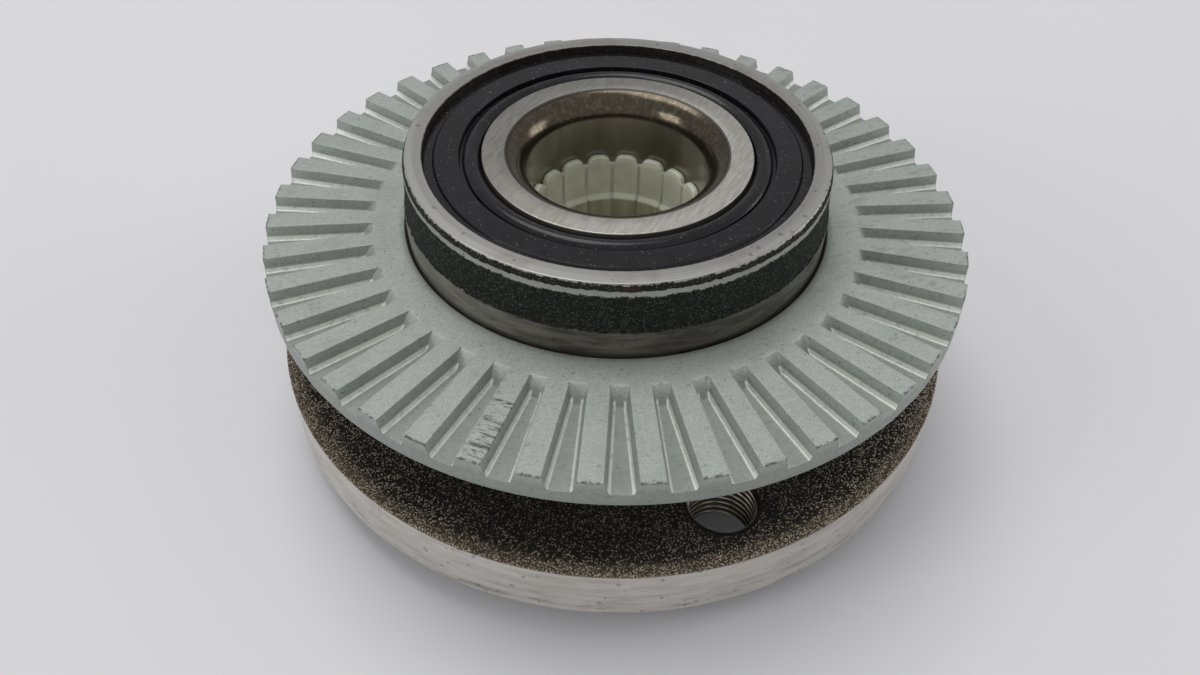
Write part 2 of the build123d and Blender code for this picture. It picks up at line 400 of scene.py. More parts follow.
def new_group(name, numbers, outputs):
    """Shader node group that takes a point and some numbers. Returns its graph, inputs and outputs."""
    tree = bpy.data.node_groups.new(name, "ShaderNodeTree")
    tree.interface.new_socket("Point", in_out="INPUT", socket_type="NodeSocketVector")
    for label, default in numbers.items():
        socket = tree.interface.new_socket(label, in_out="INPUT", socket_type="NodeSocketFloat")
        socket.default_value = default
    for label in outputs:
        kind = "NodeSocketVector" if label == "Around" else "NodeSocketFloat"
        tree.interface.new_socket(label, in_out="OUTPUT", socket_type=kind)
    taken = tree.nodes.new("NodeGroupInput").outputs
    given = tree.nodes.new("NodeGroupOutput").inputs
    return Graph(tree), taken, given


def make_axle_group():
    """Radius and height about the axle, in millimetres, and a place that runs around with it."""
    g, taken, given = new_group("about_axle", {}, ("Radius", "Height", "Around"))
    x, y, z = g.split(taken["Point"])
    g.feed(given["Radius"], g.across(x, y))
    g.feed(given["Height"], z)
    g.feed(given["Around"], g.vector("NORMALIZE", g.join(x, y, 0.0)))


def make_lathe_group():
    """Fine rings left by a turning tool or a grinding wheel, with a slow change around the axle."""
    g, taken, given = new_group("lathe_marks", {"Density": 6.0, "Break": 0.6}, ("Height", "Tone"))
    drift_turn = 1.2
    radius, height, around = g.place("about_axle", Point=taken["Point"])[:3]
    ring = g.join(g.times(radius, taken["Density"]), g.times(height, taken["Density"]), 0.0)
    where = g.vector("ADD", ring, g.turned(g.scaled(around, taken["Break"]), drift_turn))
    fine = g.noise(where, 1.0, detail=5.0, roughness=0.7)
    broad = g.noise(where, 0.13, detail=2.0)
    g.feed(given["Height"], fine)
    g.feed(given["Tone"], g.plus(g.times(fine, 0.6), g.times(broad, 0.4)))


def make_grit_group():
    """Rough forged grain: beads that catch the light, with dark pits between them."""
    g, taken, given = new_group("forged_grit", {"Grain": 2.0}, ("Height", "Bead", "Lit", "Patch"))
    raggedness = 1.7
    where = g.scaled(taken["Point"], taken["Grain"])
    warp = g.node("ShaderNodeTexNoise", {"Vector": where, "Scale": 1.3, "Detail": 3.0}).outputs["Color"]
    distance, chance, size = g.cells(g.vector("ADD", where, g.stretch(warp, (raggedness,) * 3)))
    bead = g.ramp(distance, 0.56, 0.18)
    patch = g.noise(taken["Point"], 0.16, detail=4.0, roughness=0.65)
    lump = g.noise(where, 0.7, detail=5.0, roughness=0.7)
    g.feed(given["Height"], g.plus(g.times(bead, g.plus(size, 0.3)), lump))
    g.feed(given["Bead"], bead)
    g.feed(given["Lit"], g.ramp(g.plus(chance, g.times(patch, 0.9)), 0.8, 1.15))
    g.feed(given["Patch"], patch)


def make_dust_group():
    """Scattered specks: a few of many small cells."""
    g, taken, given = new_group("dust_specks", {"Spacing": 1.5, "Share": 0.2, "Size": 0.2}, ("Mask",))
    distance, chance, size = g.cells(g.scaled(taken["Point"], g.math("DIVIDE", 1.0, taken["Spacing"])))
    near = g.below(distance, g.times(taken["Size"], size))
    g.feed(given["Mask"], g.times(g.below(chance, taken["Share"]), near))


def make_stain_group():
    """Soft blotches of oil, handling and thin rust."""
    g, taken, given = new_group("stains", {"Width": 12.0}, ("Mask", "Tone"))
    where = g.scaled(taken["Point"], g.math("DIVIDE", 1.0, taken["Width"]))
    tone = g.noise(where, 1.0, detail=4.0, roughness=0.6)
    g.feed(given["Tone"], tone)
    g.feed(given["Mask"], g.ramp(tone, 0.52, 0.68))


def start_material(name, metallic=0.0):
    """New material. Returns it, its graph, its shader and the surface point in millimetres."""
    material = bpy.data.materials.new(name)
    material.use_nodes = True
    g = Graph(material.node_tree)
    shader = next(n for n in material.node_tree.nodes if n.type == "BSDF_PRINCIPLED")
    shader.inputs["Metallic"].default_value = metallic
    place = g.node("ShaderNodeTexCoord", {})
    return material, g, shader, g.scaled(place.outputs["Object"], 1 / MM)


def finish_shader(g, shader, tint, rough, relief=None, relief_h=0.0):
    """Feeds a shader its colour, its roughness and a relief of the given height in millimetres."""
    g.feed(shader.inputs["Base Color"], tint)
    g.feed(shader.inputs["Roughness"], rough)
    if relief is not None:
        made = g.node("ShaderNodeBump", {"Height": relief, "Distance": relief_h * MM, "Strength": 1.0})
        g.feed(shader.inputs["Normal"], made.outputs[0])


def speck_mask(g, point, spacing, share, size):
    """Mask of scattered specks, sizes in millimetres."""
    return g.place("dust_specks", Point=point, Spacing=spacing, Share=share, Size=size)["Mask"]


# ---- materials ---------------------------------------------------------------------------------

# Where the outer ring's finishes meet. A name ending in R is a radius, the others are heights.
BARREL_IN_R, BARREL_OUT_R = 33.2, 36.6
EDGE_R, EDGE_LOW = 34.6, HUB_TOP - 1.15
SKIM_TOP, SKIM_LOW = HUB_TOP - 0.3, HUB_TOP - 2.15
SKIM_FOOT, BAND_LOW, SEAT_HIGH = HUB_TOP - 4.0, HUB_TOP - 8.75, HUB_TOP - 8.0
SKIN_IN_R, SKIN_LOW = 33.0, 9.95
RECESS_LOW = 40.0

# The dent in the barrel's upper edge, the direction of the flange's front, which painted shade darkens, and the
# direction of a painted sweep of light and shade over the ground faces.
NOTCH_AT = (-10.2, -33.0, 44.3)
FRONT_SHADE_WAY, LIGHT_SWEEP_WAY = (-0.3, -0.95, 0.0), (0.415, -0.91, 0.0)


def make_hub_steel(colours):
    """Outer ring: forged skin on the flange, neck and barrel, turned and ground steel elsewhere."""
    material, g, shader, point = start_material("hub_steel")
    radius, height = g.place("about_axle", Point=point)[:2]
    marks = g.place("lathe_marks", Point=point, Density=3.2, Break=0.8)
    coarse = g.place("forged_grit", Point=point, Grain=3.5)
    fine = g.place("forged_grit", Point=point, Grain=3.6)
    wave = g.minus(g.noise(point, 0.8, detail=6.0, roughness=0.8), 0.5)

    def over(value, limit, sway, soft=0.06):
        """1 where a value passes a limit that sways with the wave."""
        return g.ramp(g.plus(value, g.times(wave, sway)), limit - soft, limit + soft)

    barrel = g.times(g.below(radius, BARREL_OUT_R), g.above(radius, BARREL_IN_R))
    edge = g.times(over(height, EDGE_LOW, 1.5), over(radius, EDGE_R, 0.8, 0.04))
    below_skim = g.minus(1.0, over(height, SKIM_LOW, 2.2, 0.1))
    band = g.times(below_skim, over(height, BAND_LOW, 1.0, 0.1))
    low = g.below(height, TONE_BOTTOM - 0.05)
    flange = g.times(low, over(height, SKIN_LOW, 0.0, 0.2), g.above(radius, SKIN_IN_R))
    skin = g.most(g.times(barrel, g.most(edge, band)), flange)
    hole, thread = thread_finish(g, point)
    skin = g.times(skin, g.minus(1.0, hole))

    dark, flecks = forged_skin(g, colours, point, radius, flange, over, wave, coarse, fine)
    recess = g.minus(1.0, over(radius, SEAL_IN_R + 0.1, 0.5, 0.1))
    light = g.blend(hole, turned_steel(g, colours, point, radius, height, barrel, low, recess, marks), thread)

    # A dent in the barrel's upper edge.
    rust = (0.045, 0.022, 0.016)
    away = g.stretch(g.vector("SUBTRACT", point, NOTCH_AT), (0.6, 1.0, 2.0))
    notch = g.ramp(g.plus(g.measure("LENGTH", away), wave), 1.1, 0.8)
    finish = g.blend(g.times(notch, 0.9), g.blend(skin, light, dark), rust)
    g.feed(shader.inputs["Metallic"], g.between(skin, 0.85, g.times(flecks, 0.15)))
    shader.inputs["Specular IOR Level"].default_value = 0.2
    rough_light = g.plus(g.times(marks["Tone"], 0.2), 0.28)
    rough = g.between(skin, rough_light, g.minus(0.72, g.times(flecks, 0.4)))
    grain = g.between(flange, g.times(fine["Height"], 0.6), coarse["Height"])
    finish_shader(g, shader, finish, rough, g.between(skin, g.times(marks["Height"], 0.03), grain), 0.4)
    return material


def forged_skin(g, colours, point, radius, flange, over, wave, coarse, fine):
    """Colour and bright flecks of the skin, the flecks being pale grains with painted glints on them: darkest towards
    the neck, partly as painted shade under the tone ring, bright with wear towards the rim.
    """
    green_scale, worn_and_lit_scale, lip_scale = (0.012, 0.015, 0.011), (0.055, 0.042, 0.030), (0.13, 0.10, 0.062)
    barrel_grain_glint = (0.26, 0.28, 0.22)
    worn_and_lit = g.times(flange, over(radius, HUB_R - 3.6, 7.0, 3.4))
    lip = g.times(flange, g.ramp(g.plus(radius, g.times(wave, 4.0)), HUB_R - 3.0, HUB_R - 0.8))
    # Painted shade on the flange's front: its flecks are dimmed there, away from the lip.
    facing = g.math("DIVIDE", g.measure("DOT_PRODUCT", point, FRONT_SHADE_WAY), radius)
    front_shade = g.times(g.ramp(facing, 0.7, 0.97), g.minus(1.0, lip))
    on_barrel = g.times(fine["Bead"], fine["Lit"], 0.45)
    on_flange = g.times(coarse["Lit"], g.between(worn_and_lit, 0.8, 2.0))
    on_flange = g.times(g.most(on_flange, g.times(lip, 0.8)), coarse["Bead"], g.between(front_shade, 1.0, 0.5))
    flecks = g.least(g.between(flange, on_barrel, on_flange), 1.0)
    dark = g.blend(g.times(fine["Patch"], 0.5), green_scale, colours.skin)
    dark = g.blend(flange, dark, colours.skin)
    dark = g.tinted(dark, worn_and_lit, 0.3, worn_and_lit_scale)
    dark = g.tinted(dark, lip, 0.6, lip_scale)
    return g.blend(flecks, dark, g.blend(flange, barrel_grain_glint, colours.grain)), flecks


def turned_steel(g, colours, point, radius, height, barrel, low, recess, marks):
    """Colour of the machined faces, with a stained seat on the barrel, painted light on the seat's left side, a rim
    with handling grime, and grime with painted shade in the seal's recess.
    """
    oil, grime, grime_and_shade, dirt = (0.20, 0.175, 0.13), (0.13, 0.11, 0.095), (0.028, 0.021, 0.014), (0.05, 0.05, 0.045)
    seat_light, seat_dark, seat_lit = (0.17, 0.155, 0.125), (0.04, 0.033, 0.024), (0.36, 0.345, 0.30)
    rim_light, rim_dull, rim_rings = (0.76, 0.73, 0.68), (0.55, 0.51, 0.46), (0.36, 0.33, 0.30)
    skim = (0.62, 0.61, 0.55)
    stain = g.place("stains", Point=point, Width=9.0)
    smear = g.place("stains", Point=g.stretch(point, (1.0, 1.0, 6.0)), Width=8.0)
    light = g.blend(g.ramp(marks["Tone"], 0.36, 0.62), dimmed(colours.turned, 0.7), colours.turned)
    light = g.tinted(light, stain["Mask"], 0.35, oil)

    seat = g.times(barrel, g.below(height, SEAT_HIGH), g.above(height, TONE_BOTTOM))
    # Painted light on the seat's left side, weaker where the smear tone is high.
    seat_lit_side = g.times(g.ramp(g.split(point)[0], -18.0, -34.0), g.ramp(smear["Tone"], 0.3, 0.6, 1.0, 0.5))
    seat_tint = g.blend(g.ramp(smear["Tone"], 0.36, 0.66), seat_light, seat_dark)
    light = g.tinted(light, seat, 0.82, g.blend(seat_lit_side, seat_tint, seat_lit))
    strip = g.times(barrel, g.above(height, SKIM_FOOT), g.below(height, SKIM_TOP))
    light = g.tinted(light, strip, 0.5, skim)

    rim = g.times(low, g.above(radius, HUB_R - 0.5))
    rim_tint = g.blend(g.ramp(smear["Tone"], 0.3, 0.75), rim_light, rim_dull)
    rim_tint = g.blend(g.ramp(marks["Tone"], 0.4, 0.62, 0.0, 0.25), rim_tint, rim_rings)
    light = g.tinted(light, rim, 0.85, rim_tint)
    light = g.tinted(light, g.times(rim, smear["Mask"], g.ramp(height, 5.0, 1.0)), 0.5, grime)
    # Grime with painted shade on the wall of the seal's recess.
    light = g.tinted(light, g.times(recess, g.above(height, RECESS_LOW)), 0.9, grime_and_shade)
    return g.tinted(light, speck_mask(g, point, 0.9, 0.12, 0.5), 0.4, dirt)


def thread_finish(g, point):
    """Mask and colour of the threads, about the nearest hole: painted shade darkening the hollows between the
    threads, and bright crests.
    """
    crest, root_shade = (0.58, 0.53, 0.44), (0.05, 0.042, 0.032)
    x, y = g.split(g.vector("ABSOLUTE", point))[:2]
    from_bolt = g.across(g.minus(g.most(x, y), BOLT_CIRCLE_R), g.least(x, y))
    depth = g.ramp(from_bolt, BOLT_R - 0.66, BOLT_R - 0.5)
    return g.below(from_bolt, BOLT_R + 0.02), g.blend(depth, crest, root_shade)


def make_ground_steel(tint):
    """Ground bearing steel with crossing grinding marks on its faces and rings in its bore."""
    oil, shadow = (0.25, 0.21, 0.145), (0.03, 0.026, 0.02)
    lead_in_light, lead_in_dark, glint = (0.115, 0.098, 0.07), (0.04, 0.033, 0.022), (0.42, 0.38, 0.30)
    wall_dark, wall_light, wall_painted_light = (0.20, 0.18, 0.152), (0.30, 0.275, 0.238), (0.46, 0.43, 0.36)
    mouth_r, grind_angle = 18.6, 0.85
    material, g, shader, point = start_material("ground_steel", metallic=0.92)
    radius, height = g.place("about_axle", Point=point)[:2]
    marks = g.place("lathe_marks", Point=point, Density=7.0, Break=1.4)
    slanted = g.turned(point, grind_angle)
    sweep = g.noise(g.stretch(slanted, (4.5, 0.3, 0.3)), 1.0, detail=4.0, roughness=0.8)
    ring_w = RING_FACE - RING_JOINT
    face = g.ramp(g.math("ABSOLUTE", g.minus(height, RING_JOINT)), ring_w - 0.1, ring_w - 0.02)
    tone = g.between(face, marks["Tone"], sweep)
    steel = g.blend(g.ramp(tone, 0.36, 0.64), dimmed(tint, 0.7), tint)
    steel = g.tinted(steel, g.place("stains", Point=point, Width=6.0)["Mask"], 0.3, oil)
    # Painted light and shade that sweep across the ground faces, lighter in one direction.
    shade = g.ramp(g.measure("DOT_PRODUCT", point, LIGHT_SWEEP_WAY), -16.0, 16.0, 0.68, 1.3)
    steel = g.blend(face, steel, g.join(shade, shade, shade), "MULTIPLY")

    bore = g.times(g.below(radius, mouth_r), g.minus(1.0, face))
    mottle = g.noise(point, 0.9, detail=4.0)
    # Sparse painted glints along the dark lead-in.
    glint_spots = g.ramp(g.noise(point, 1.3, detail=3.0, roughness=0.7), 0.5, 0.64)
    lead_in = g.tinted(g.blend(mottle, lead_in_light, lead_in_dark), glint_spots, 0.13, glint)
    # The bore wall: vertical streaks of painted reflection, and painted light on its left side.
    wall = g.ramp(radius, BORE_R + 0.15, BORE_R + 0.03)
    reflection_streaks = g.ramp(g.noise(g.stretch(point, (1.0, 1.0, 0.04)), 0.22, detail=5.0), 0.3, 0.7)
    painted_light_side = g.ramp(g.split(point)[0], -6.0, -15.0, 0.0, 0.7)
    wall_tint = g.blend(painted_light_side, g.blend(reflection_streaks, wall_dark, wall_light), wall_painted_light)
    steel = g.blend(bore, steel, g.blend(wall, lead_in, wall_tint))
    brink = g.times(g.ramp(radius, mouth_r + 0.02, mouth_r - 0.14), g.above(radius, 18.0))
    steel = g.tinted(steel, brink, 0.85, shadow)
    rough = g.between(bore, g.plus(g.times(tone, 0.25), 0.27), g.between(wall, 0.19, 0.27))
    relief = g.between(face, g.between(bore, marks["Height"], mottle), sweep)
    finish_shader(g, shader, steel, rough, relief, 0.012)
    return material


def make_coated_steel(colours):
    """Tone ring: matt grey-green zinc coating with painted shade in its grooves and painted highlights on their
    fillets, with pits, scuffs and scratches.
    """
    grey, green, scuffed, groove_shade = (0.20, 0.22, 0.20), (0.20, 0.23, 0.195), (0.10, 0.115, 0.11), (0.08, 0.09, 0.07)
    pitted, gap, dark_smear, fillet_highlight = (0.10, 0.12, 0.10), (0.02, 0.02, 0.016), (0.13, 0.14, 0.135), (0.82, 0.85, 0.79)
    chipped, scratched = (0.03, 0.03, 0.025), (0.035, 0.04, 0.035)
    material, g, shader, point = start_material("coated_steel", metallic=0.45)
    radius, height = g.place("about_axle", Point=point)[:2]
    mottle = g.noise(point, 1.1, detail=5.0, roughness=0.7)
    grain = g.noise(point, 5.0, detail=4.0, roughness=0.75)
    stain = g.place("stains", Point=point, Width=11.0)
    scuff = g.ramp(g.noise(g.stretch(point, (0.5, 2.2, 1.0)), 0.8, detail=5.0, roughness=0.8), 0.60, 0.68)
    coat = g.blend(g.ramp(mottle, 0.3, 0.7), dimmed(colours.coating, 0.86), colours.coating)
    coat = g.blend(g.ramp(grain, 0.38, 0.62, 0.0, 0.5), coat, grey)
    coat = g.tinted(coat, stain["Mask"], 0.2, green)
    coat = g.tinted(coat, scuff, g.ramp(stain["Tone"], 0.4, 0.6, 0.1, 0.75), scuffed)
    # Painted shade down in the grooves.
    coat = g.tinted(coat, g.ramp(height, TONE_TOP - 0.25, TONE_TOP - 2.2), 0.27, groove_shade)
    coat = g.tinted(coat, speck_mask(g, point, 0.75, 0.2, 0.42), 0.35, pitted)
    coat = g.tinted(coat, g.ramp(radius, TONE_BORE_R + 0.65, TONE_BORE_R + 0.4), 0.92, gap)

    # Darker smears, most of them towards the +x side.
    smear = g.ramp(g.noise(g.stretch(point, (0.14, 0.5, 0.3)), 1.0, detail=5.0, roughness=0.75), 0.52, 0.66)
    coat = g.tinted(coat, smear, g.ramp(g.split(point)[0], 15.0, 50.0, 0.08, 0.42), dark_smear)

    # Painted highlights on the fillets along both feet of every groove.
    aside = g.times(off_nearest(g, point, FIRST_GROOVE, TOOTH_COUNT), radius)
    foot = g.ramp(radius, GROOVE_START_R, TONE_R, GROOVE_FOOT_IN, GROOVE_FOOT_OUT, kind="LINEAR")
    close = g.ramp(g.math("ABSOLUTE", g.minus(aside, foot)), 0.42, 0.12)
    on_floor = g.times(g.ramp(height, TONE_TOP - 1.5, TONE_TOP - 1.9), g.above(height, TONE_BOTTOM + 0.1))
    fillet = g.times(close, on_floor, g.below(radius, TONE_R - 0.1))
    coat = g.tinted(coat, fillet, g.ramp(mottle, 0.3, 0.5, 0.5, 1.0), fillet_highlight)

    # Chipped coating along the outer edge of the teeth.
    brink = g.times(g.ramp(radius, TONE_R - 0.45, TONE_R - 0.1), g.ramp(height, TONE_TOP - 0.5, TONE_TOP))
    flaked = g.ramp(g.noise(point, 1.3, detail=4.0, roughness=0.8), 0.45, 0.55)
    coat = g.tinted(coat, g.times(brink, flaked), 0.85, chipped)

    # Scratches across one tooth.
    turned = g.turned(point, math.radians(SCRATCH_ANGLE))
    out, across = g.split(turned)[:2]
    patch = g.times(g.ramp(out, 46.5, 47.5), g.ramp(out, 59.5, 57.5))
    patch = g.times(patch, g.ramp(g.math("ABSOLUTE", across), 2.9, 1.2), g.above(height, TONE_TOP - 0.3))
    lines = g.ramp(g.noise(g.stretch(turned, (2.4, 0.3, 0.3)), 1.0, detail=3.0, roughness=0.7), 0.53, 0.6)
    coat = g.tinted(coat, g.times(patch, lines), 0.8, scratched)
    rough = g.plus(g.times(grain, 0.2), 0.3)
    finish_shader(g, shader, coat, rough, g.plus(grain, g.times(mottle, 0.6)), 0.09)
    return material


def make_seal_rubber(colours):
    """Moulded rubber with a light bloom and brown dust."""
    dust, crumbs = (0.17, 0.155, 0.12), (0.24, 0.21, 0.16)
    material, g, shader, point = start_material("seal_rubber")
    bloom = g.noise(point, 0.35, detail=4.0)
    grain = g.noise(point, 5.0, detail=3.0)
    rubber = g.blend(g.ramp(bloom, 0.35, 0.75), colours.rubber, dimmed(colours.rubber, 1.9))
    rubber = g.tinted(rubber, speck_mask(g, point, 0.42, 0.24, 0.34), 0.5, dust)
    rubber = g.tinted(rubber, speck_mask(g, point, 1.7, 0.10, 0.22), 0.4, crumbs)
    shader.inputs["Specular IOR Level"].default_value = 0.3
    finish_shader(g, shader, rubber, g.plus(g.times(grain, 0.14), 0.12), grain, 0.012)
    return material


def make_nylon(name, tint, rough, glow, shade_below):
    """Natural nylon: milky and faintly translucent, shaded below a height and in creases between tabs."""
    specks, deep_shares, crease_share = (0.16, 0.14, 0.09), (0.42, 0.38, 0.26), 0.3
    material, g, shader, point = start_material(name)
    radius, height = g.place("about_axle", Point=point)[:2]
    cloud = g.noise(point, 0.3, detail=4.0)
    grain = g.noise(point, 4.0, detail=3.0)
    inside = g.below(radius, SLEEVE_R - 0.4)
    body = g.blend(g.ramp(cloud, 0.3, 0.7), dimmed(tint, 0.85), tint)
    body = g.tinted(body, speck_mask(g, point, 1.6, 0.1, 0.16), 0.5, specks)
    streak = g.ramp(g.noise(g.stretch(point, (1.0, 1.0, 0.02)), 0.45, detail=2.0), 0.35, 0.65, 0.25, 0.75)
    below = g.times(g.ramp(height, shade_below + 0.1, shade_below - 0.3), streak)
    body = g.tinted(body, below, inside, dimmed(tint, *deep_shares))
    from_crease = off_nearest(g, point, FIRST_TAB + 180 / TAB_COUNT, TAB_COUNT)
    crease = g.times(g.ramp(from_crease, 0.035, 0.008), g.ramp(cloud, 0.35, 0.6, 0.15, 0.5))
    body = g.tinted(body, crease, inside, dimmed(tint, crease_share))
    finish_shader(g, shader, body, g.plus(g.times(grain, 0.15), rough), grain, 0.01)
    shader.inputs["Subsurface Weight"].default_value = glow
    shader.inputs["Subsurface Radius"].default_value = (1.0, 1.0, 0.7)
    shader.inputs["Subsurface Scale"].default_value = 0.0015
    return material


def make_polished_steel(colours):
    """Lapped bearing balls under a thin film of grease."""
    grease = (0.5, 0.47, 0.38)
    material, g, shader, point = start_material("polished_steel", metallic=1.0)
    film = g.noise(point, 0.8, detail=3.0)
    tint = g.blend(g.ramp(film, 0.4, 0.7), colours.polish, grease)
    finish_shader(g, shader, tint, g.ramp(film, 0.35, 0.75, 0.06, 0.2))
    return material


def make_sheet_steel(colours):
    """Pressed sheet of the seal inserts, with rolling grain."""
    material, g, shader, point = start_material("sheet_steel", metallic=0.95)
    grain = g.noise(g.stretch(point, (0.6, 5.0, 0.6)), 1.0, detail=4.0)
    tint = dimmed(colours.turned, 0.8)
    rough = g.plus(g.times(grain, 0.2), 0.3)
    finish_shader(g, shader, g.blend(grain, tint, dimmed(tint, 0.7)), rough, grain, 0.01)
    return material


# ---- pieces ------------------------------------------------------------------------------------


class HUB_OT_outer_ring(Operator):
    """Forged and machined outer ring with its threaded wheel bolt holes"""

    bl_idname = "hub.outer_ring"
    bl_label = "Outer Ring"

    around_steps = 540
    row_length = 0.85
    flange_t = 10.4
    face_r = 34.5
    skim_r = 34.95
    skin_foot_r = 35.3
    seat_r = 35.5
    seat_top = TONE_BOTTOM + 9.45
    neck_r = 37.5
    neck_fillet = 6.0
    rib_r = 26.8
    cap_depth = 3.6
    undercut = 0.3
    undercut_depth = 0.8
    thread_steps = 72
    thread_rows_per_pitch = 12

    def outline(self):
        """Section of the ring, from the spigot up the bore and down the outside."""
        rib = math.degrees(math.acos((self.rib_r - PITCH_R) / RACE_R))
        open_r, cap_top = PITCH_R + RACE_R, HUB_BOTTOM + self.cap_depth
        relief_r = SPIGOT_R - self.undercut
        points = [
            # Spigot and the seat of the dust cap.
            (SPIGOT_R, HUB_BOTTOM, 0.8), (CAP_SEAT_R, HUB_BOTTOM, 0.3), (CAP_SEAT_R, cap_top, 0.08),
            # Up the bore: a seal's seat, both raceways, the other seal's seat.
            (SEAL_OUT_R, cap_top, 0.1), (SEAL_OUT_R, SEAL_OUT_HIGH, 0.1), (open_r, SEAL_OUT_HIGH, 0.15),
            *arc((PITCH_R, RING_JOINT - ROW_HALF), RACE_R, 0, rib),
            *arc((PITCH_R, RING_JOINT + ROW_HALF), RACE_R, -rib, 0),
            (open_r, SEAL_IN_LOW, 0.15), (SEAL_IN_R, SEAL_IN_LOW, 0.1), (SEAL_IN_R, HUB_TOP, 0.16),
            # Down the barrel and the seat of the tone ring.
            (self.face_r, HUB_TOP, 0.25), (self.skim_r, HUB_TOP - 0.8, 0.9), (self.skim_r, HUB_TOP - 1.9, 0.0),
            (self.skin_foot_r, self.seat_top, 0.12), (self.seat_r, self.seat_top, 0.12),
            (self.seat_r, TONE_BOTTOM, 0.0), (self.neck_r, TONE_BOTTOM, 0.4),
            # Neck, flange and the undercut at the foot of the spigot.
            (self.neck_r, self.flange_t, self.neck_fillet), (HUB_R, self.flange_t, 0.35), (HUB_R, 0.0, 0.45),
            (SPIGOT_R + 2 * self.undercut, 0.0, 0.05), (SPIGOT_R, self.undercut, 0.0),
            (relief_r, self.undercut, 0.08), (relief_r, -self.undercut_depth, 0.08),
            (SPIGOT_R, -self.undercut_depth, 0.05),
        ]
        return divided(rounded(points), self.row_length)

    def roughen(self, points, relief):
        """Sinks the forged skin by a grain: down on the flange, inward on the neck and the barrel."""
        grain_scale, barrel_share, fillet_w = 1.1, 0.45, 4
        band_low, band_high = HUB_TOP - 8.6, HUB_TOP - 0.05
        for row in points:
            radius, height = math.hypot(row[0][0], row[0][1]), row[0][2]
            on_neck = self.flange_t - 0.01 <= height < TONE_BOTTOM - 0.3 and radius > self.neck_r - 0.1
            on_band = band_low < height < band_high and radius > self.face_r + 0.05
            if not (on_neck and radius < HUB_R - 0.6) and not on_band:
                continue
            depth = relief if on_neck else barrel_share * relief
            for point in row:
                grain = 0.5 + 0.5 * noise.fractal(Vector(point) * grain_scale, 0.7, 2.2, 4)
                sink = -depth * min(max(grain, 0.0), 1.0)
                if on_neck and radius > self.neck_r + fillet_w:
                    point[2] += sink
                else:
                    point[:2] *= 1 + sink / radius

    def threaded_cutter(self, angle, sizes):
        """Plug in the shape of a threaded hole, to be cut from the flange."""
        pitch, depth = sizes.thread_pitch / MM, sizes.thread_depth / MM
        low, high = -1.0, self.flange_t + 1.5
        crest, flank = 0.06, 0.38
        turns = even_angles(self.thread_steps)
        heights = np.arange(low, high, pitch / self.thread_rows_per_pitch)[:, None]
        phase = (heights / pitch - turns[None, :] / TURN) % 1
        radius = BOLT_R - depth * (1 - np.clip((np.abs(phase - 0.5) - crest) / flank, 0, 1))
        x = BOLT_CIRCLE_R * math.cos(angle) + radius * np.cos(turns)
        y = BOLT_CIRCLE_R * math.sin(angle) + radius * np.sin(turns)
        points = np.stack([x, y, heights + 0 * x], axis=2)
        index = np.arange(radius.size).reshape(radius.shape)
        right = np.roll(index, -1, axis=1)
        faces = np.stack([index[:-1], right[:-1], right[1:], index[1:]], axis=2).reshape(-1, 4).tolist()
        faces += [index[0][::-1].tolist(), index[-1].tolist()]
        return new_object("bolt_cutter", points.reshape(-1, 3) * MM, faces)

    def execute(self, context):
        points = turned_points(self.outline(), even_angles(self.around_steps))
        self.roughen(points, context.scene.hub_sizes.skin_relief / MM)
        ring = closed_mesh("outer_ring_forging", points)
        for angle in even_angles(BOLT_COUNT):
            cutter = self.threaded_cutter(angle, context.scene.hub_sizes)
            cut = ring.modifiers.new("bolt_hole", "BOOLEAN")
            cut.object = cutter
            cut.operation = "DIFFERENCE"
            cut.solver = "EXACT"
            apply_modifiers(ring)
            bpy.data.objects.remove(cutter)
        ring.data.set_sharp_from_angle(angle=math.radians(35))
        material = make_hub_steel(context.scene.hub_colours)
        settle(ring, "hub", "forged_steel", material, "hub_outer_ring")
        return {"FINISHED"}


def apply_modifiers(piece):
    """Turns a piece's modifiers into its mesh."""
    bpy.context.view_layer.update()
    shown = piece.evaluated_get(bpy.context.evaluated_depsgraph_get())
    mesh = bpy.data.meshes.new_from_object(shown)
    old = piece.data
    piece.modifiers.clear()
    piece.data = mesh
    bpy.data.meshes.remove(old)


